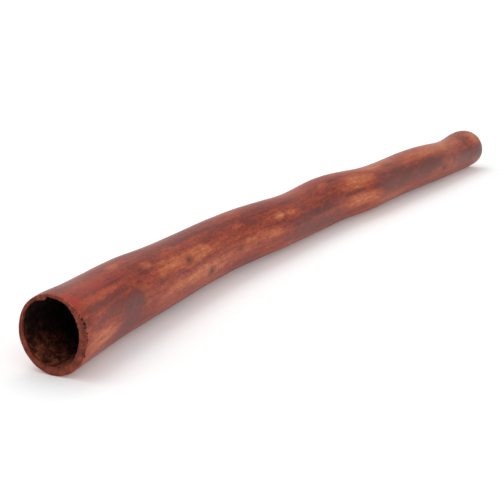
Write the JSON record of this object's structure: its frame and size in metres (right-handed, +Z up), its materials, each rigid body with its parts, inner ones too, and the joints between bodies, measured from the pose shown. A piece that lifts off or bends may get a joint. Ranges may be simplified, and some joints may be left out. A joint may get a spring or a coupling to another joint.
{
  "type": "didgeridoo",
  "caption": "Bowed, termite-hollowed hardwood drone pipe with a flared bell, dark lined bore and a beeswax mouthpiece ring.",
  "frame": {"origin": "on the ground, under the middle of the instrument as it lies on its side", "axes": "+X from the bell to the mouth end, +Z up, and the log bows towards +Y"},
  "size_m": [1.2, 0.1152, 0.0872],
  "materials": {
    "timber": "satin",
    "lining": "matte",
    "beeswax": "satin",
    "knot": "satin"
  },
  "bodies": {
    "root": {"timber_body": "timber", "bore_lining": "lining", "mouthpiece_wax": "beeswax", "pin_knot_1": "knot", "pin_knot_2": "knot", "pin_knot_3": "knot", "pin_knot_4": "knot", "pin_knot_5": "knot"}
  },
  "joints": []
}
